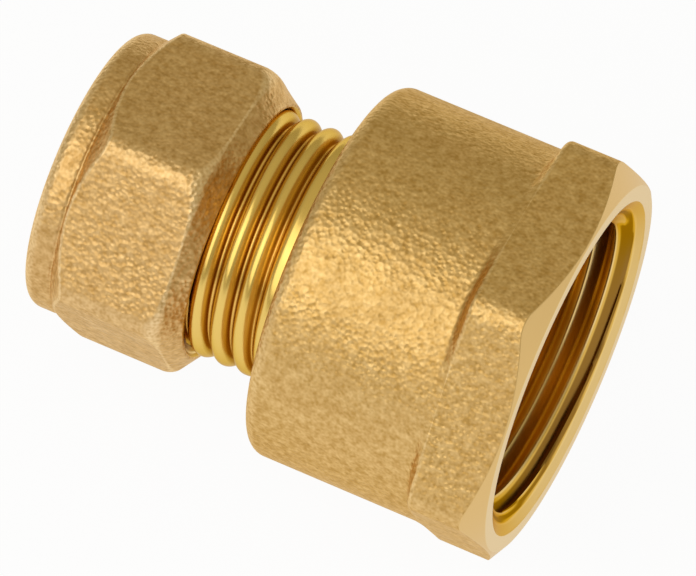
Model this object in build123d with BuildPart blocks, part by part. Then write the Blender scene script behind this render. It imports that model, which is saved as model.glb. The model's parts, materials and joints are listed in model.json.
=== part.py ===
from build123d import *
from math import cos, radians, tan
import os

# A straight brass coupler from a 15 mm pipe to an internal 3/4 inch pipe thread.
# The body is one forging, turned at both ends. The compression nut screws onto the body's stub
# and presses the olive, a soft brass ring, between two cones until it grips the pipe.
#
# X is the pipe axis. The origin is the centre of the pipe stop, the step where the pipe ends.
# The threaded mouth faces +X, and the pipe comes in from -X, through the nut and the olive.
# +Z is up: the coupler lies on one flat of the body's hexagon. Sizes are in millimetres.
# Threads are plain walls: the outer ones at the crest, the inner ones clear of what screws in.

# Pipe side of the body: radial steps outwards from the pipe
pipe_d = 15.0
pipe_play = 0.05
stop_step = 0.95
entry_rise = 1.35
stub_wall = 2.9275
neck_rise = 0.22

# Pipe side of the body: lengths and angles
stub_length = 12.4
stub_chamfer = 1.0
neck_length = 1.6
entry_half_angle = 25.0

# Threaded side of the body: radial steps outwards from the thread's crest
mouth_thread_d = 24.12
countersink_rise = 2.34
mouth_land = 1.34
barrel_wall = 3.84
hex_stand = 0.05
hex_corner_round = 2.3
lug_spare = 0.3

# Threaded side of the body: lengths and angles
waterway_length = 2.62
floor_half_angle = 59.0
socket_depth = 15.7
countersink_half_angle = 61.0
hex_length = 6.96
ramp_angle = 56.0
mouth_chamfer_angle = 30.0
shoulder_draft = 3.4
shoulder_round = 1.3

# Olive
olive_play = 0.1
olive_end_wall = 0.4
olive_crown_wall = 1.1
olive_length = 6.2
olive_crown_length = 1.8

# Nut
thread_play = 0.15
nut_side_wall = 1.3725
nut_length = 13.94
nut_hole_play = 0.2
nut_hole_length = 2.78
nut_hole_chamfer = 0.4
nut_cone_half_angle = 45.0
nut_countersink = 0.2
nut_front_land = 0.25
nut_front_angle = 36.0
nut_corner_round = 2.2
nut_bevel_length = 1.5
nut_bevel_angle = 32.0
collar_step = 0.13
collar_length = 2.51
collar_groove = 0.2
collar_fillet = 1.3
collar_ramp_angle = 49.0
nut_rest_turn = -4.2

# Where the loose pieces stand: free travel of the olive before it seals, and its gap to the nut
seal_travel = 1.28
seat_gap = 0.15

HEX_SIDES = 6
HALF_HEX_ANGLE = radians(180 / HEX_SIDES)


def run_for(rise, angle):
    """Axial length in which a cone at this angle to the axis rises by this much."""
    return rise / tan(radians(angle))


# Radii of the body, from the pipe outwards and from the mouth's thread outwards
bore_r = pipe_d / 2 + pipe_play
waterway_r = bore_r - stop_step
entry_r = bore_r + entry_rise
stub_r = bore_r + stub_wall
neck_r = stub_r + neck_rise
mouth_thread_r = mouth_thread_d / 2
countersink_r = mouth_thread_r + countersink_rise
mouth_r = countersink_r + mouth_land
barrel_r = mouth_thread_r + barrel_wall
hex_apothem = barrel_r + hex_stand
lug_blank_r = hex_apothem / cos(HALF_HEX_ANGLE) + lug_spare

# Places along the body, from the pipe stop to the mouth and to the tip of the stub
floor_top_x = waterway_length + run_for(mouth_thread_r - waterway_r, floor_half_angle)
mouth_x = floor_top_x + socket_depth
countersink_x = mouth_x - run_for(countersink_rise, countersink_half_angle)
hex_x = mouth_x - hex_length
shoulder_x = (barrel_r - neck_r) * tan(radians(shoulder_draft))
ramp_top_x = hex_x + run_for(lug_blank_r - barrel_r, ramp_angle)
chamfer_x = mouth_x - (lug_blank_r - mouth_r) * tan(radians(mouth_chamfer_angle))
tip_x = -stub_length
entry_end_x = tip_x + run_for(entry_rise, entry_half_angle)

# The olive waits in front of the body's cone, and the nut's cone stands behind the olive
olive_bore_r = pipe_d / 2 + olive_play
olive_end_r = olive_bore_r + olive_end_wall
olive_crown_r = olive_bore_r + olive_crown_wall
olive_front_x = tip_x + run_for(entry_r - olive_end_r, entry_half_angle) - seal_travel
olive_rear_x = olive_front_x - olive_length
olive_bevel_length = (olive_length - olive_crown_length) / 2

# The nut, from its pipe hole outwards and from its cone to both ends
nut_hole_r = pipe_d / 2 + nut_hole_play
nut_thread_r = stub_r + thread_play
nut_apothem = nut_thread_r + nut_side_wall
nut_blank_r = nut_apothem / cos(HALF_HEX_ANGLE) + lug_spare
collar_r = nut_apothem - collar_step
nut_front_r = nut_thread_r + nut_countersink + nut_front_land
nut_cone_x = olive_rear_x - seat_gap - run_for(olive_end_r - nut_hole_r, nut_cone_half_angle)
nut_cone_top_x = nut_cone_x + run_for(nut_thread_r - nut_hole_r, nut_cone_half_angle)
nut_rear_x = nut_cone_x - nut_hole_length
nut_front_x = nut_rear_x + nut_length
nut_bevel_x = nut_front_x - nut_bevel_length
collar_x = nut_rear_x + collar_length
collar_groove_r = collar_r - collar_groove
collar_ramp_top_x = collar_x + run_for(nut_blank_r - collar_groove_r, collar_ramp_angle)
nut_chamfer_x = nut_front_x - (nut_blank_r - nut_front_r) * tan(radians(nut_front_angle))

os.makedirs("parts", exist_ok=True)


# Coupler body: its half section turned about the pipe axis, then the hexagon's flats
with BuildPart() as coupler_body:
    with BuildSketch(Plane.XZ) as body_section:
        with BuildLine():
            Polyline(
                (tip_x, entry_r),
                (tip_x, stub_r - stub_chamfer),
                (tip_x + stub_chamfer, stub_r),
                (-neck_length - neck_rise, stub_r),
                (-neck_length, neck_r),
                (0, neck_r),
                (shoulder_x, barrel_r),
                (hex_x, barrel_r),
                (ramp_top_x, lug_blank_r),
                (chamfer_x, lug_blank_r),
                (mouth_x, mouth_r),
                (mouth_x, countersink_r),
                (countersink_x, mouth_thread_r),
                (floor_top_x, mouth_thread_r),
                (waterway_length, waterway_r),
                (0, waterway_r),
                (0, bore_r),
                (entry_end_x, bore_r),
                (tip_x, entry_r),
            )
        make_face()
        shoulder_edge = body_section.vertices().sort_by_distance((shoulder_x, barrel_r))[0]
        fillet(shoulder_edge, shoulder_round)
    revolve(axis=Axis.X)

    # What lies outside the hexagon is taken off the turned lug, and its six corners stay
    with BuildSketch(Plane.YZ.offset(hex_x)) as hex_waste:
        Circle(lug_blank_r + lug_spare)
        RegularPolygon(hex_apothem, HEX_SIDES, major_radius=False, mode=Mode.SUBTRACT)
        fillet(hex_waste.vertices().sort_by_distance((0, 0))[:HEX_SIDES], hex_corner_round)
    extrude(amount=hex_length, mode=Mode.SUBTRACT)
coupler_body.part.label = "coupler_body"
export_step(coupler_body.part, "parts/coupler_body.step")


# Compression nut: a hexagon bar, bevelled towards the body and turned a little against its hexagon
with BuildSketch() as nut_hexagon:
    RegularPolygon(nut_apothem, HEX_SIDES, major_radius=False, rotation=nut_rest_turn)
    fillet(nut_hexagon.vertices(), nut_corner_round)

with BuildPart() as compression_nut:
    rear_outline = Plane.YZ.offset(nut_rear_x) * nut_hexagon.sketch
    extrude(rear_outline, amount=nut_bevel_x - nut_rear_x)
    bevel_outline = Plane.YZ.offset(nut_bevel_x) * nut_hexagon.sketch
    extrude(bevel_outline, amount=nut_bevel_length, taper=nut_bevel_angle)

    # Turning leaves the collar, the groove behind the corners, and the cone that presses on the olive
    with BuildSketch(Plane.XZ) as nut_section:
        with BuildLine():
            Polyline(
                (nut_rear_x + nut_hole_chamfer, nut_hole_r),
                (nut_rear_x, nut_hole_r + nut_hole_chamfer),
                (nut_rear_x, collar_r),
                (collar_x - collar_groove, collar_r),
                (collar_x, collar_groove_r),
                (collar_ramp_top_x, nut_blank_r),
                (nut_chamfer_x, nut_blank_r),
                (nut_front_x, nut_front_r),
                (nut_front_x, nut_thread_r + nut_countersink),
                (nut_front_x - nut_countersink, nut_thread_r),
                (nut_cone_top_x, nut_thread_r),
                (nut_cone_x, nut_hole_r),
                (nut_rear_x + nut_hole_chamfer, nut_hole_r),
            )
        make_face()
        collar_edge = nut_section.vertices().sort_by_distance((nut_rear_x, collar_r))[0]
        fillet(collar_edge, collar_fillet)
    revolve(axis=Axis.X, mode=Mode.INTERSECT)
compression_nut.part.label = "compression_nut"
export_step(compression_nut.part, "parts/compression_nut.step")


# Olive: a ring with bevelled ends, just off the nut's cone
with BuildPart() as olive:
    with BuildSketch(Plane.XZ):
        with BuildLine():
            Polyline(
                (olive_rear_x, olive_bore_r),
                (olive_rear_x, olive_end_r),
                (olive_rear_x + olive_bevel_length, olive_crown_r),
                (olive_front_x - olive_bevel_length, olive_crown_r),
                (olive_front_x, olive_end_r),
                (olive_front_x, olive_bore_r),
                close=True,
            )
        make_face()
    revolve(axis=Axis.X)
olive.part.label = "olive"
export_step(olive.part, "parts/olive.step")
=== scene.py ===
import json
from collections import namedtuple
from math import atan2, cos, pi, radians, sin, tan

import bmesh
import bpy
import numpy as np
from mathutils import Matrix, Vector


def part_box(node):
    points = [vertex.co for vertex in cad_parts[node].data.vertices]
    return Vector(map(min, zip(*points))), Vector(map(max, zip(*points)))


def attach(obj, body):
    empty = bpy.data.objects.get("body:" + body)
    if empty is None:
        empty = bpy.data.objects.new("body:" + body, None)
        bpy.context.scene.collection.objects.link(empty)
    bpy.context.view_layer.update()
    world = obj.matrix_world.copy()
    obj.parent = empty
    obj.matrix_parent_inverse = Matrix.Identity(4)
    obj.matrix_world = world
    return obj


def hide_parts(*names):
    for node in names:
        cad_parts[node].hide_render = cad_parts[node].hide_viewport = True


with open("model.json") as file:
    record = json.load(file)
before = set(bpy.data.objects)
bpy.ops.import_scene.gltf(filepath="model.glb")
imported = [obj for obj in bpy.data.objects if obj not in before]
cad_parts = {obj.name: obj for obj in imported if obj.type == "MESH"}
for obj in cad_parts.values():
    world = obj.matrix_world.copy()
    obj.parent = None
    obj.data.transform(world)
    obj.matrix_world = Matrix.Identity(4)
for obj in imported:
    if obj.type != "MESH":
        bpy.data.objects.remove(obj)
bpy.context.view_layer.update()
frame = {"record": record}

MM = 0.001
TINY = 1e-9
FULL_TURN = 2 * pi
SIXTH = pi / 3
HALF_SIXTH = SIXTH / 2

# The places of the finishes in a piece's list of materials
FORGED, TURNED, FACET, LAND, MOUTH = range(5)
ONLY_FINISH = 0


def corners_of(node):
    """A node's lowest and highest corners at rest, in millimetres."""
    low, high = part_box(node)
    return np.array(low) / MM, np.array(high) / MM


# Sizes that the frame gives
record = frame["record"]
mounts = {mount["name"]: mount for mount in record["mounts"]}
body_low, body_high = corners_of("coupler_body")
nut_low, nut_high = corners_of("compression_nut")
olive_low, olive_high = corners_of("olive")
bore_r = mounts["pipe_socket"]["dims"]["r_mm"]
mouth_minor_r = mounts["mouth_thread"]["dims"]["r_mm"]
screw_pitch = FULL_TURN / record["behaviour"]["couplings"][0]["ratio"] / MM
tip_x, mouth_x = body_low[0], body_high[0]
hex_apothem = body_high[2]
nut_rear_x, nut_front_x = nut_low[0], nut_high[0]
olive_rear_x, olive_front_x = olive_low[0], olive_high[0]
olive_crown_r = olive_high[2]

# Body: sizes that the frame doesn't give
entry_r = 8.9
entry_length = 2.895
stub_r = 10.4775
stub_chamfer = 1.0
neck_x = -1.6
neck_r = 10.6975
neck_ramp = 0.8
runout_x = -0.6
waterway_r = 6.6
waterway_length = 2.62
floor_top_x = 5.9
countersink_r = 14.40
countersink_slope = tan(radians(61))
mouth_r = 15.74
mouth_slope = tan(radians(30))
barrel_r = 15.90
shoulder_x = (barrel_r - neck_r) * tan(radians(3.4))
shoulder_round = 1.3
hex_x = mouth_x - 6.96
hex_corner_round = 2.31

# The lugs' ramps, steeper than in the solid
ramp_foot_x = hex_x + 0.33
ramp_top_x = ramp_foot_x + 0.79

# External thread: how deep it is, a groove's middle at angle 0, the turn over which it runs out,
# and its form from crest (0) to groove (1): how blunt and how full the crest is, where the root starts
screw_depth = 1.02
screw_groove_x = -2.71
screw_runout = (radians(225), radians(300))
screw_crest_blunt = 0.01
screw_crest_power = 0.65
screw_root_start = 0.93

# Internal thread: likewise, with flat crests and straight flanks, and the turns left plain above the floor
mouth_pitch = 1.814
mouth_depth = 1.16
mouth_groove_x = 19.12
mouth_crest_flat = 0.1
mouth_flank = 0.85
mouth_plain_turns = 0.4

# Nut
nut_turn = radians(-4.2)
nut_apothem = 12.0
nut_corner_round = 2.21
nut_hole_r = 7.7
nut_hole_chamfer = 0.4
nut_cone_x = nut_rear_x + 2.78
nut_countersink = 0.2
nut_front_r = 11.0775
nut_front_slope = tan(radians(36))
nut_bevel_length = 1.5
nut_bevel_round = 0.5
nut_bevel_corner_extra = 1.5
collar_r = 11.87
collar_x = nut_rear_x + 2.51
collar_round = 1.3
collar_groove = 0.15
collar_groove_width = 0.25
collar_slope = tan(radians(49))
thread_play = 0.15
thread_gap = 0.07

# The nut's thread is full a tenth of a pitch behind its countersink
thread_start_rate = 10

# Olive
olive_bore_r = 7.6
olive_end_r = 8.0
olive_crown_length = 1.8
olive_crown_round = 1.2

# Painted highlight: the most on each piece's edges, its share along the hexagon's corners, and how far it
# spreads there
body_edge_highlight = 0.8
nut_edge_highlight = 1.3
corner_highlight_share = 0.3
corner_highlight_spread = 1.2

# Tones in the mouth, as places on its colour ramp: the crests', the painted shade that a groove adds to
# it, the darker painted shade that a groove in the first turn adds besides, and that of the painted shade
# in a ring on the countersink
crest_tone = 0.2
groove_shade_rise = 0.16
first_turn_shade_rise = 0.64
painted_shade_tone = 0.46

# Where that painted shade lies, in millimetres below the mouth's face, and over how much the tones fade
first_turn_shade_end = 2.6
painted_shade_start = 0.42
painted_shade_end = 0.9
painted_shade_fade = 0.12
thread_edge_fade = 0.1

# Fineness of the meshes: a round takes at most a share of each side next to it, and the weld is in metres
corner_columns = 9
flat_columns = 27
olive_columns = 160
rows_per_pitch = 15
broad_round = 0.9
broad_arc_rows = 15
small_arc_rows = 6
most_of_side = 0.45
weld_distance = 3e-7
sharp_angle = radians(40)

# Camera, as the outline in the photo gives it
VIEW_AZIMUTH = 19.883
VIEW_ELEVATION = 52.536
VIEW_ROLL = 6.77
VIEW_DISTANCE = 0.68604
VIEW_TARGET = (0.0023165, -0.0002942, -0.0011022)
LENS = 443.383
SENSOR = 36.0
CLIP_START = 0.01

# Stage, in metres, and how much of its own white the floor shows
FLOOR_Z = body_low[2] * MM
FLOOR_HALF = 3.0
FLOOR_WHITE = 0.95


# Section and mesh tools
Corner = namedtuple("Corner", "x r rounding finish rows")


def off_corner(angles, first_corner):
    """How far each angle is from the nearest corner of a hexagon."""
    return np.abs((angles - first_corner + HALF_SIXTH) % SIXTH - HALF_SIXTH)


def round_centre(apothem, corner_round):
    """Distance from the axis to the middle of a hexagon corner's round."""
    return (apothem - corner_round) / cos(HALF_SIXTH)


def corner_touch(apothem, corner_round):
    """Angle from a corner's middle to where its round meets the flat."""
    centre = round_centre(apothem, corner_round)
    return atan2(corner_round * sin(HALF_SIXTH), centre + corner_round * cos(HALF_SIXTH))


def hex_angles(first_corner, touch):
    """Angles of the mesh columns: close together over each rounded corner, wider along the flats."""
    over_corner = np.linspace(-touch, touch, corner_columns)
    along_flat = np.linspace(touch, SIXTH - touch, flat_columns)[1:-1]
    sixth = np.concatenate([over_corner, along_flat])
    turn = np.concatenate([sixth + first_corner + k * SIXTH for k in range(6)])
    return np.append(turn, turn[0] + FULL_TURN)


def hexagon(angles, first_corner, apothem, corner_round):
    """Distance of a rounded hexagon's edge from the axis, for each angle."""
    off = off_corner(angles, first_corner)
    centre = round_centre(apothem, corner_round)
    reach = np.sqrt(np.maximum(corner_round**2 - (centre * np.sin(off)) ** 2, 0))
    on_round = centre * np.cos(off) + reach
    on_flat = apothem / np.cos(HALF_SIXTH - off)
    return np.where(off < corner_touch(apothem, corner_round), on_round, on_flat)


def corner_arc(before, place, after, size):
    """Points of a rounded section corner, between its neighbours."""
    if np.max(size) == 0:
        return [place]
    back, ahead = before - place, after - place
    back_length, ahead_length = np.hypot(*back), np.hypot(*ahead)
    back, ahead = back / np.maximum(back_length, TINY), ahead / np.maximum(ahead_length, TINY)
    half_turn = np.arccos(np.clip(-(back * ahead).sum(0), -1, 1)) / 2
    reach = np.minimum(size * np.tan(half_turn), most_of_side * np.minimum(back_length, ahead_length))
    bends = np.linspace(0, pi / 2, broad_arc_rows if np.max(size) > broad_round else small_arc_rows)
    return [place + reach * (back * (1 - sin(t)) + ahead * (1 - cos(t))) for t in bends]


def outline(corners, count):
    """Rows of a closed half section, the finish at each point, and where each corner's round and the run
    of rows after it are. A corner says how far it is rounded, then the finish and the rows up to the next
    corner, as a number or as places along the axis. Its x and r may differ for each angle."""
    places = []
    for corner in corners.values():
        places.append(np.array([np.broadcast_to(value, count) for value in (corner.x, corner.r)]))
    before, after = places[-1:] + places[:-1], places[1:] + places[:1]
    sizes = [corner.rounding for corner in corners.values()]
    arcs = [corner_arc(*spot) for spot in zip(before, places, after, sizes)]
    rows, finishes, rounds, runs = [], [], {}, {}
    for (name, corner), arc, next_arc in zip(corners.items(), arcs, arcs[1:] + arcs[:1]):
        start, end = arc[-1], next_arc[0]
        if isinstance(corner.rows, int):
            steps = corner.rows + 1
            shares = [(1 - cos(pi * i / steps)) / 2 for i in range(1, steps)]
        else:
            shares = np.clip((corner.rows - start[0]) / (end[0] - start[0]), 0, 1)
        first, run_first = len(rows), len(rows) + len(arc)
        rounds[name] = slice(first, run_first)
        runs[name] = slice(run_first, run_first + len(shares))
        rows += arc + [start + (end - start) * share for share in shares]
        finishes += [corner.finish] * (len(arc) + len(shares))
    rows = np.array(rows)
    return rows[:, 0], rows[:, 1], np.repeat(np.array(finishes)[:, None], count, 1), rounds, runs


def helix_rows(angles, start_x, end_x, pitch):
    """Places along the axis of mesh rows that wind with a thread, in order from start to end."""
    low, high = min(start_x, end_x), max(start_x, end_x)
    step = pitch / rows_per_pitch
    count = int((high - low + 2 * pitch) / step) + 1
    wound = low - pitch + pitch * (angles - angles[0]) / FULL_TURN + step * np.arange(count)[:, None]
    return wound if start_x < end_x else wound[::-1]


def round_crest(near):
    """Groove depth of a thread with full, round crests; near is 1 in the groove and 0 on the crest."""
    near = np.minimum(near / screw_root_start, 1)
    return 1 - ((1 - near**2 + screw_crest_blunt) / (1 + screw_crest_blunt)) ** screw_crest_power


def sharp_crest(near):
    """Groove depth of a thread with straight flanks and narrow crests."""
    return np.clip((near - mouth_crest_flat) / mouth_flank, 0, 1)


def groove(x, angles, pitch, groove_x, shape, runout=None):
    """1 in the middle of a right-hand thread's groove and 0 on its crests."""
    turns = (x - groove_x) / pitch - angles / FULL_TURN
    nearest = np.round(turns)
    depth = shape(1 - 2 * np.abs(turns - nearest))
    if runout:
        along = angles + FULL_TURN * nearest
        depth = depth * np.clip((runout[1] - along) / (runout[1] - runout[0]), 0, 1)
    return depth


def mouth_tones_and_shade(below, cut, in_thread):
    """The mouth's tones: painted shade in a ring on the countersink, and in the thread's grooves, darker
    in the first turn.
    """
    fade_in = np.clip((below - painted_shade_start) / painted_shade_fade, 0, 1)
    fade_out = np.clip((painted_shade_end - below) / painted_shade_fade, 0, 1)
    cone_shade = painted_shade_tone * fade_in * fade_out
    first_turn = np.clip(first_turn_shade_end - below, 0, 1)
    thread_tone = crest_tone + (groove_shade_rise + first_turn_shade_rise * first_turn) * cut
    return cone_shade + (thread_tone - cone_shade) * in_thread


def edge_highlight(shape, edges, angles, corner, touch, flats, most):
    """How much painted highlight each point gets: most on the rounded edges, then along the hexagon's
    corners.
    """
    painted_highlight = np.zeros(shape)
    off = off_corner(angles, corner)
    painted_highlight[flats] = corner_highlight_share * most * np.clip(corner_highlight_spread - (off / touch) ** 2, 0, 1)
    for rows in edges:
        across = np.sin(np.linspace(0, pi, rows.stop - rows.start))[:, None]
        painted_highlight[rows] = most * across
    return painted_highlight


def add_object(name, data):
    """A new object in the scene."""
    thing = bpy.data.objects.new(name, data)
    bpy.context.scene.collection.objects.link(thing)
    return thing


def weld(mesh):
    """Join the mesh's points that fall together."""
    welded = bmesh.new()
    welded.from_mesh(mesh)
    bmesh.ops.remove_doubles(welded, verts=welded.verts, dist=weld_distance)
    bmesh.ops.dissolve_degenerate(welded, edges=welded.edges, dist=weld_distance)
    welded.to_mesh(mesh)
    welded.free()
    mesh.update()


def ring(name, section, angles, finishes, marks, materials, body, node):
    """A closed ring mesh from section rows, on its body and in place of its solid."""
    x, r = section
    points = np.stack([x, r * np.cos(angles), r * np.sin(angles)], -1).reshape(-1, 3) * MM
    count, columns = x.shape
    i, j = np.meshgrid(np.arange(count), np.arange(columns - 1), indexing="ij")
    here, above = i * columns + j, (i + 1) % count * columns + j
    quads = np.stack([here, here + 1, above + 1, above], -1)
    mesh = bpy.data.meshes.new(name)
    mesh.from_pydata(points.tolist(), [], quads.reshape(-1, 4).tolist())
    for material in materials:
        mesh.materials.append(material)
    mesh.polygons.foreach_set("material_index", finishes[:, :-1].ravel().astype(np.int32))
    mesh.polygons.foreach_set("use_smooth", np.ones(len(mesh.polygons), bool))
    for mark, values in marks.items():
        layer = mesh.attributes.new(mark, "FLOAT", "POINT")
        layer.data.foreach_set("value", values.ravel().astype(np.float32))
    weld(mesh)
    mesh.set_sharp_from_angle(angle=sharp_angle)
    piece = add_object(name, mesh)
    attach(piece, body)
    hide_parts(node)


# Materials
# A mix node has a socket of the same name for each kind of data, so its colours go by number
MIX_COLOUR_A, MIX_COLOUR_B, MIXED_COLOUR = 6, 7, 2


def node_of(tree, kind, **values):
    """A shader node with its properties and constant inputs set."""
    node = tree.nodes.new(kind)
    for key, value in values.items():
        if key in node.inputs:
            node.inputs[key].default_value = value
        else:
            setattr(node, key, value)
    return node


def ramp_of(tree, stops):
    """A colour ramp from stops of (position, colour)."""
    node = tree.nodes.new("ShaderNodeValToRGB")
    elements = node.color_ramp.elements
    while len(elements) < len(stops):
        elements.new(0.5)
    for element, (position, colour) in zip(elements, stops):
        element.position = position
        element.color = (*colour, 1)
    return node


def range_of(tree, source, target):
    """A node that turns one range of values into another."""
    node = tree.nodes.new("ShaderNodeMapRange")
    sockets = ("From Min", "From Max", "To Min", "To Max")
    for socket, value in zip(sockets, (*source, *target)):
        node.inputs[socket].default_value = value
    return node


def brass(name, base, roughness, edge):
    """A bare brass material, with its colour at grazing view, its node tree and its shader."""
    material = bpy.data.materials.new(name)
    material.use_nodes = True
    tree = material.node_tree
    shader = tree.nodes["Principled BSDF"]
    shader.inputs["Base Color"].default_value = (*base, 1)
    shader.inputs["Metallic"].default_value = 1.0
    shader.inputs["Roughness"].default_value = roughness
    shader.inputs["Specular Tint"].default_value = (*edge, 1)
    return material, tree, shader


def forged_brass(name, dark, middle, bright, painted_highlight, edge):
    """Shot-blasted forging: a pebble of shallow pits, cloudy in tone, and with a painted highlight on its
    rounded edges.
    """
    material, tree, shader = brass(name, base=middle, roughness=0.42, edge=edge)
    link = tree.links.new
    place = tree.nodes.new("ShaderNodeTexCoord")
    grain = node_of(tree, "ShaderNodeTexNoise", Scale=3900, Detail=0.0)
    pits = node_of(tree, "ShaderNodeTexVoronoi", feature="SMOOTH_F1", Scale=2500, Smoothness=0.5)
    cloud = node_of(tree, "ShaderNodeTexNoise", Scale=1600, Detail=1.0, Roughness=0.5)
    patch = node_of(tree, "ShaderNodeTexNoise", Scale=300, Detail=3.0, Roughness=0.6)
    for noise in (grain, pits, cloud, patch):
        link(place.outputs["Object"], noise.inputs["Vector"])

    # Its tone comes from the grain and the clouds together
    tone = node_of(tree, "ShaderNodeMix", data_type="FLOAT", Factor=0.65)
    link(grain.outputs["Fac"], tone.inputs["A"])
    link(cloud.outputs["Fac"], tone.inputs["B"])
    tint = ramp_of(tree, [(0.31, dark), (0.51, middle), (0.71, bright)])
    link(tone.outputs["Result"], tint.inputs["Fac"])

    # Painted highlight: rounded edges and the hexagon's corners are brighter, the more so on the grain's
    # high spots
    highlight_mark = node_of(tree, "ShaderNodeAttribute", attribute_name="painted_highlight")
    share = node_of(tree, "ShaderNodeMath", operation="MULTIPLY")
    link(highlight_mark.outputs["Fac"], share.inputs[0])
    link(grain.outputs["Fac"], share.inputs[1])
    highlight_mix = node_of(tree, "ShaderNodeMix", data_type="RGBA")
    link(share.outputs["Value"], highlight_mix.inputs["Factor"])
    link(tint.outputs["Color"], highlight_mix.inputs[MIX_COLOUR_A])
    highlight_mix.inputs[MIX_COLOUR_B].default_value = (*painted_highlight, 1)
    link(highlight_mix.outputs[MIXED_COLOUR], shader.inputs["Base Color"])

    # The gloss changes from patch to patch, and the pits lie on a gentle swell
    rough = range_of(tree, (0.3, 0.7), (0.50, 0.36))
    link(patch.outputs["Fac"], rough.inputs["Value"])
    link(rough.outputs["Result"], shader.inputs["Roughness"])
    swell = node_of(tree, "ShaderNodeBump", Strength=0.9, Distance=0.00006)
    link(cloud.outputs["Fac"], swell.inputs["Height"])
    bump = node_of(tree, "ShaderNodeBump", Strength=0.9, Distance=0.000083)
    link(pits.outputs["Distance"], bump.inputs["Height"])
    link(swell.outputs["Normal"], bump.inputs["Normal"])
    link(bump.outputs["Normal"], shader.inputs["Normal"])
    return material


def turned_brass(name, base, roughness, shades=None, edge=(1, 0.97, 0.90)):
    """Lathe-turned brass: smooth, with fine rings round the axis, and coloured along its groove mark,
    which carries painted shade and painted highlight where a thread is.
    """
    material, tree, shader = brass(name, base, roughness, edge)
    link = tree.links.new
    place = tree.nodes.new("ShaderNodeTexCoord")
    split = tree.nodes.new("ShaderNodeSeparateXYZ")
    link(place.outputs["Object"], split.inputs["Vector"])

    # The rings depend only on the place along the axis and the distance from it
    across = tree.nodes.new("ShaderNodeCombineXYZ")
    link(split.outputs["Y"], across.inputs["X"])
    link(split.outputs["Z"], across.inputs["Y"])
    out = node_of(tree, "ShaderNodeVectorMath", operation="LENGTH")
    link(across.outputs["Vector"], out.inputs[0])
    section = tree.nodes.new("ShaderNodeCombineXYZ")
    link(split.outputs["X"], section.inputs["X"])
    link(out.outputs["Value"], section.inputs["Y"])
    lines = node_of(
        tree, "ShaderNodeTexNoise", noise_dimensions="2D", Scale=9000, Detail=2.0, Roughness=0.5)
    link(section.outputs["Vector"], lines.inputs["Vector"])
    bump = node_of(tree, "ShaderNodeBump", Strength=0.12, Distance=0.00002)
    link(lines.outputs["Fac"], bump.inputs["Height"])
    link(bump.outputs["Normal"], shader.inputs["Normal"])
    # The groove mark's ramp gives painted shade and painted highlight where a thread is
    if shades:
        depth = node_of(tree, "ShaderNodeAttribute", attribute_name="groove")
        shade = ramp_of(tree, shades)
        link(depth.outputs["Fac"], shade.inputs["Fac"])
        link(shade.outputs["Color"], shader.inputs["Base Color"])
    return material


# Each forging's colours: dark, middle and bright for its grain, then its painted highlight on the edges,
# then its colour at grazing view
forged = forged_brass(
    "forged_brass", dark=(0.57, 0.34, 0.100), middle=(0.70, 0.452, 0.168), bright=(0.83, 0.565, 0.24),
    painted_highlight=(0.95, 0.70, 0.36), edge=(0.92, 0.78, 0.54))
nut_forged = forged_brass(
    "nut_brass", dark=(0.57, 0.335, 0.110), middle=(0.70, 0.445, 0.180), bright=(0.83, 0.555, 0.25),
    painted_highlight=(0.95, 0.70, 0.38), edge=(1.0, 0.90, 0.68))

# The stub's thread: its crest colour, painted shade in its roots, and a painted highlight at the very
# bottom of each groove
SCREW_CREST, SCREW_ROOT_SHADE, SCREW_FOOT_HIGHLIGHT = (0.84, 0.58, 0.16), (0.52, 0.28, 0.05), (1.0, 0.80, 0.42)
screw_crest_and_painted_light = [(0.28, SCREW_CREST), (0.55, SCREW_ROOT_SHADE), (0.80, SCREW_ROOT_SHADE), (0.92, SCREW_FOOT_HIGHLIGHT)]
turned = turned_brass(
    "turned_brass", SCREW_CREST, roughness=0.24, shades=screw_crest_and_painted_light, edge=(0.72, 0.58, 0.36))

FACET_TONE, LAND_TONE, OLIVE_TONE = (0.76, 0.51, 0.20), (0.76, 0.54, 0.22), (0.76, 0.52, 0.20)
facet = turned_brass("facet_brass", FACET_TONE, roughness=0.36)
land = turned_brass("land_brass", LAND_TONE, roughness=0.30)

# The mouth's colours: land and crest tones, painted shade in the grooves, and a dark painted shade in the
# first turn and in a ring on the countersink
MOUTH_CREST, MOUTH_ROOT_SHADE, MOUTH_PAINTED_SHADE = (0.84, 0.60, 0.24), (0.74, 0.46, 0.10), (0.30, 0.155, 0.03)
mouth_tones_and_painted_shade = [(0.02, LAND_TONE), (0.10, MOUTH_CREST), (0.22, MOUTH_CREST)]
mouth_tones_and_painted_shade += [(0.28, MOUTH_ROOT_SHADE), (0.36, MOUTH_ROOT_SHADE), (painted_shade_tone, MOUTH_PAINTED_SHADE)]
mouth = turned_brass(
    "mouth_brass", MOUTH_CREST, roughness=0.28, shades=mouth_tones_and_painted_shade, edge=(0.80, 0.56, 0.24))
olive_finish = turned_brass("olive_brass", OLIVE_TONE, roughness=0.25)


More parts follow.
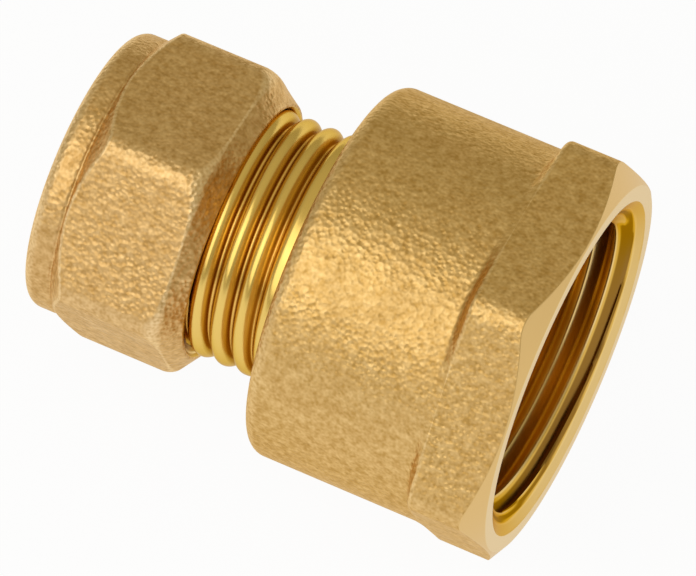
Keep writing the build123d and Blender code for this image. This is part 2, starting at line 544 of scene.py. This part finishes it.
# Pieces
def coupler_body():
    """The forged body: stub, neck, barrel, lugs, threaded mouth, waterway and pipe socket."""
    touch = corner_touch(hex_apothem, hex_corner_round)
    angles = hex_angles(0, touch)
    hex_r = hexagon(angles, 0, hex_apothem, hex_corner_round)
    chamfer_x = mouth_x - (hex_r - mouth_r) * mouth_slope
    screw_rows = helix_rows(angles, tip_x, runout_x, screw_pitch)
    socket_rows = helix_rows(angles, mouth_x, floor_top_x, mouth_pitch)
    x, r, finishes, rounds, runs = outline({
        "tip": Corner(tip_x, entry_r, rounding=0.1, finish=TURNED, rows=2),
        "screw": Corner(tip_x, stub_r - stub_chamfer, rounding=0, finish=TURNED, rows=screw_rows),
        "neck": Corner(runout_x, neck_r, rounding=0, finish=TURNED, rows=2),
        "shoulder_foot": Corner(0, neck_r, rounding=0.25, finish=FORGED, rows=4),
        "shoulder": Corner(shoulder_x, barrel_r, rounding=shoulder_round, finish=FORGED, rows=12),
        "ramp_foot": Corner(ramp_foot_x, barrel_r, rounding=0.6, finish=FORGED, rows=3),
        "ramp_top": Corner(ramp_top_x, hex_r, rounding=0.5, finish=FORGED, rows=10),
        "chamfer": Corner(chamfer_x, hex_r, rounding=0.08, finish=FACET, rows=5),
        "land": Corner(mouth_x, mouth_r, rounding=0.15, finish=LAND, rows=3),
        "socket": Corner(mouth_x, countersink_r, rounding=0, finish=LAND, rows=socket_rows),
        "floor": Corner(floor_top_x, mouth_minor_r, rounding=0.3, finish=TURNED, rows=4),
        "waterway": Corner(waterway_length, waterway_r, rounding=0.1, finish=TURNED, rows=4),
        "stop": Corner(0, waterway_r, rounding=0.05, finish=TURNED, rows=2),
        "bore": Corner(0, bore_r, rounding=0.1, finish=TURNED, rows=6),
        "entry": Corner(tip_x + entry_length, bore_r, rounding=0.1, finish=TURNED, rows=5),
    }, len(angles))
    grooves = np.zeros_like(x)

    # The external thread: cut into the stub, running out in front of the neck
    run = runs["screw"]
    rise = np.clip((x[run] - neck_x) / neck_ramp + 1, 0, 1)
    blank_r = stub_r + (neck_r - stub_r) * rise
    chamfer_r = stub_r - stub_chamfer + x[run] - tip_x
    cut = groove(x[run], angles, screw_pitch, screw_groove_x, round_crest, screw_runout)
    r[run] = np.minimum(chamfer_r, blank_r - screw_depth * cut)
    # The groove mark: painted shade in the thread's roots, and a painted highlight at the very bottom of
    # each groove
    grooves[run] = cut

    # The internal thread: it starts in the countersink and runs out above the floor
    run = runs["socket"]
    below = mouth_x - x[run]
    cone_r = np.maximum(countersink_r - below * countersink_slope, mouth_minor_r)
    cut = groove(x[run], angles, mouth_pitch, mouth_groove_x, sharp_crest)
    cut = cut * np.clip((x[run] - floor_top_x) / mouth_pitch - mouth_plain_turns, 0, 1)
    cut_r = mouth_minor_r + mouth_depth * cut
    r[run] = np.maximum(cone_r, cut_r)
    in_thread = np.clip((cut_r - cone_r) / thread_edge_fade + 0.5, 0, 1)
    # The groove mark here carries painted shade: in the grooves, darker in the first turn, and in a ring
    # on the countersink
    grooves[run] = mouth_tones_and_shade(below, cut, in_thread)
    finishes[run] = MOUTH

    # Painted highlight on the rounded edges and along the hexagon's corners
    edges = [rounds[name] for name in ("shoulder", "ramp_top", "chamfer")]
    painted_highlight = edge_highlight(x.shape, edges, angles, 0, touch, runs["ramp_top"], body_edge_highlight)
    marks = {"groove": grooves, "painted_highlight": painted_highlight}
    finish_of = [forged, turned, facet, land, mouth]
    ring("body_shell", (x, r), angles, finishes, marks, finish_of, "coupler", "coupler_body")


def compression_nut():
    """The nut: hole, collar, groove, hexagon, bevelled front, thread and cone."""
    touch = corner_touch(nut_apothem, nut_corner_round)
    angles = hex_angles(nut_turn, touch)
    hex_r = hexagon(angles, nut_turn, nut_apothem, nut_corner_round)
    groove_r = collar_r - collar_groove
    ramp_x = collar_x + (hex_r - groove_r) / collar_slope
    bevel_x = nut_front_x - np.maximum((hex_r - nut_front_r) * nut_front_slope, nut_bevel_length)
    towards_corner = (hex_r - nut_apothem) / np.max(hex_r - nut_apothem)
    bevel_round = nut_bevel_round + nut_bevel_corner_extra * towards_corner**2
    major_r = stub_r + thread_play
    cone_top_x = nut_cone_x + major_r - nut_hole_r
    countersink_x = nut_front_x - nut_countersink
    hole_edge_x = nut_rear_x + nut_hole_chamfer
    groove_edge_x = collar_x - collar_groove_width
    opening_r = major_r + nut_countersink
    screw_rows = helix_rows(angles, countersink_x, cone_top_x, screw_pitch)
    x, r, finishes, rounds, runs = outline({
        "hole_edge": Corner(hole_edge_x, nut_hole_r, rounding=0.08, finish=TURNED, rows=1),
        "rear": Corner(nut_rear_x, nut_hole_r + nut_hole_chamfer, rounding=0.08, finish=TURNED, rows=6),
        "collar": Corner(nut_rear_x, collar_r, rounding=collar_round, finish=FORGED, rows=3),
        "groove_edge": Corner(groove_edge_x, collar_r, rounding=0.4, finish=FORGED, rows=1),
        "groove": Corner(collar_x, groove_r, rounding=0.15, finish=FORGED, rows=2),
        "ramp_top": Corner(ramp_x, hex_r, rounding=0.5, finish=FORGED, rows=12),
        "bevel": Corner(bevel_x, hex_r, rounding=bevel_round, finish=FORGED, rows=5),
        "front": Corner(nut_front_x, nut_front_r, rounding=0.1, finish=FORGED, rows=1),
        "countersink": Corner(nut_front_x, opening_r, rounding=0.08, finish=TURNED, rows=2),
        "screw": Corner(countersink_x, major_r, rounding=0, finish=TURNED, rows=screw_rows),
        "cone_top": Corner(cone_top_x, major_r, rounding=0.2, finish=TURNED, rows=5),
        "hole": Corner(nut_cone_x, nut_hole_r, rounding=0.1, finish=TURNED, rows=3),
    }, len(angles))
    grooves = np.zeros_like(x)

    # The thread follows the stub's, a gap away from it, and fades out at both ends
    run = runs["screw"]
    start = (countersink_x - x[run]) / screw_pitch * thread_start_rate
    ends = np.clip(np.minimum((x[run] - cone_top_x) / screw_pitch, start), 0, 1)
    cut = groove(x[run], angles, screw_pitch, screw_groove_x, round_crest) * ends
    r[run] = major_r - (thread_play - thread_gap) * ends - screw_depth * cut
    # The groove mark as the nut's own grooves give it: painted shade in them and a painted highlight at
    # their bottom
    grooves[run] = 1 - cut

    # Painted highlight on the rounded edges and along the hexagon's corners
    edges = [rounds[name] for name in ("collar", "ramp_top", "bevel")]
    painted_highlight = edge_highlight(x.shape, edges, angles, nut_turn, touch, runs["ramp_top"], nut_edge_highlight)
    marks = {"groove": grooves, "painted_highlight": painted_highlight}
    finish_of = [nut_forged, turned]
    ring("nut_shell", (x, r), angles, finishes, marks, finish_of, "nut", "compression_nut")


def olive():
    """The olive: a ring with bevelled ends and a softly rounded crown."""
    angles = np.linspace(0, FULL_TURN, olive_columns + 1)
    bevel = (olive_front_x - olive_rear_x - olive_crown_length) / 2
    rear_crown_x, front_crown_x = olive_rear_x + bevel, olive_front_x - bevel
    x, r, finishes, _, _ = outline({
        "rear_bore": Corner(olive_rear_x, olive_bore_r, rounding=0.08, finish=ONLY_FINISH, rows=1),
        "rear_edge": Corner(olive_rear_x, olive_end_r, rounding=0.12, finish=ONLY_FINISH, rows=3),
        "rear_crown": Corner(rear_crown_x, olive_crown_r, olive_crown_round, finish=ONLY_FINISH, rows=2),
        "front_crown": Corner(front_crown_x, olive_crown_r, olive_crown_round, finish=ONLY_FINISH, rows=3),
        "front_edge": Corner(olive_front_x, olive_end_r, rounding=0.12, finish=ONLY_FINISH, rows=1),
        "front_bore": Corner(olive_front_x, olive_bore_r, rounding=0.08, finish=ONLY_FINISH, rows=4),
    }, len(angles))
    ring("olive_ring", (x, r), angles, finishes, {}, [olive_finish], "olive", "olive")


coupler_body()
compression_nut()
olive()


# Stage, light and camera
def direction_of(azimuth, elevation):
    """The way from the coupler to this azimuth and elevation in degrees, with azimuth 0 at -Y."""
    azimuth, elevation = radians(azimuth), radians(elevation)
    return Vector((sin(azimuth) * cos(elevation), -cos(azimuth) * cos(elevation), sin(elevation)))


def white_share(tree, share):
    """How much of its own white a surface shows to the eye, to metal and through glass."""
    path = tree.nodes.new("ShaderNodeLightPath")
    link = tree.links.new
    seen = node_of(tree, "ShaderNodeMath", operation="MAXIMUM")
    link(path.outputs["Is Camera Ray"], seen.inputs[0])
    link(path.outputs["Is Glossy Ray"], seen.inputs[1])
    seen_through = node_of(tree, "ShaderNodeMath", operation="MAXIMUM")
    link(seen.outputs["Value"], seen_through.inputs[0])
    link(path.outputs["Is Transmission Ray"], seen_through.inputs[1])
    scaled = node_of(tree, "ShaderNodeMath", operation="MULTIPLY")
    link(seen_through.outputs["Value"], scaled.inputs[0])
    scaled.inputs[1].default_value = share
    return scaled.outputs["Value"]


def white_floor():
    """A wide white floor that takes the coupler's shadow."""
    signs = [(-1, -1), (1, -1), (1, 1), (-1, 1)]
    square = [(a * FLOOR_HALF, b * FLOOR_HALF, FLOOR_Z) for a, b in signs]
    mesh = bpy.data.meshes.new("floor")
    mesh.from_pydata(square, [], [(0, 1, 2, 3)])
    floor = add_object("floor", mesh)
    material = bpy.data.materials.new("white_floor")
    material.use_nodes = True
    tree = material.node_tree
    tree.nodes.remove(tree.nodes["Principled BSDF"])
    paper = node_of(tree, "ShaderNodeBsdfDiffuse", Color=(0.9, 0.9, 0.9, 1))
    glow = node_of(tree, "ShaderNodeEmission", Color=(1, 1, 1, 1), Strength=1.0)
    mix = tree.nodes.new("ShaderNodeMixShader")
    tree.links.new(white_share(tree, FLOOR_WHITE), mix.inputs["Fac"])
    tree.links.new(paper.outputs["BSDF"], mix.inputs[1])
    tree.links.new(glow.outputs["Emission"], mix.inputs[2])
    tree.links.new(mix.outputs["Shader"], tree.nodes["Material Output"].inputs["Surface"])
    mesh.materials.append(material)


def soft_box(name, direction, distance, size, glow):
    """A lamp that looks at the coupler from a direction (azimuth, elevation), as bright as glow."""
    back = direction_of(*direction)
    lamp = bpy.data.lights.new(name, "AREA")
    lamp.shape = "RECTANGLE"
    lamp.size, lamp.size_y = size
    lamp.energy = glow * pi * size[0] * size[1]
    holder = add_object(name, lamp)
    holder.location = back * distance
    holder.rotation_euler = back.to_track_quat("Z", "Y").to_euler()


def studio_light():
    """A warm room, dimmer towards the horizon, with a wide lamp and a thin strip at the camera's left."""
    world = bpy.data.worlds.new("studio")
    bpy.context.scene.world = world
    world.use_nodes = True
    tree = world.node_tree
    place = tree.nodes.new("ShaderNodeTexCoord")
    split = tree.nodes.new("ShaderNodeSeparateXYZ")
    tree.links.new(place.outputs["Generated"], split.inputs["Vector"])
    level = range_of(tree, (0, 1), (0.40, 0.56))
    tree.links.new(split.outputs["Z"], level.inputs["Value"])
    sky = tree.nodes["Background"]
    sky.inputs["Color"].default_value = (1, 0.93, 0.68, 1)
    tree.links.new(level.outputs["Result"], sky.inputs["Strength"])
    soft_box("key", direction=(-22, 44), distance=0.32, size=(0.32, 0.36), glow=1.11)
    soft_box("strip", direction=(-16, 49), distance=0.31, size=(0.16, 0.02), glow=1.4)


def photo_camera():
    """The camera where the photo was taken from, tilted as the photo is."""
    azimuth, roll = radians(VIEW_AZIMUTH), radians(VIEW_ROLL)
    back = direction_of(VIEW_AZIMUTH, VIEW_ELEVATION)
    level = Vector((cos(azimuth), sin(azimuth), 0))
    upright = back.cross(level)
    right = level * cos(roll) + upright * sin(roll)
    up = back.cross(right)
    lens = bpy.data.cameras.new("camera")
    lens.sensor_fit = "HORIZONTAL"
    lens.sensor_width = SENSOR
    lens.lens = LENS
    lens.clip_start = CLIP_START
    camera = add_object("camera", lens)
    turn = Matrix((right, up, back)).transposed().to_4x4()
    camera.matrix_world = Matrix.Translation(Vector(VIEW_TARGET) + back * VIEW_DISTANCE) @ turn
    bpy.context.scene.camera = camera


white_floor()
studio_light()
photo_camera()
bpy.context.scene.view_settings.view_transform = "Standard"
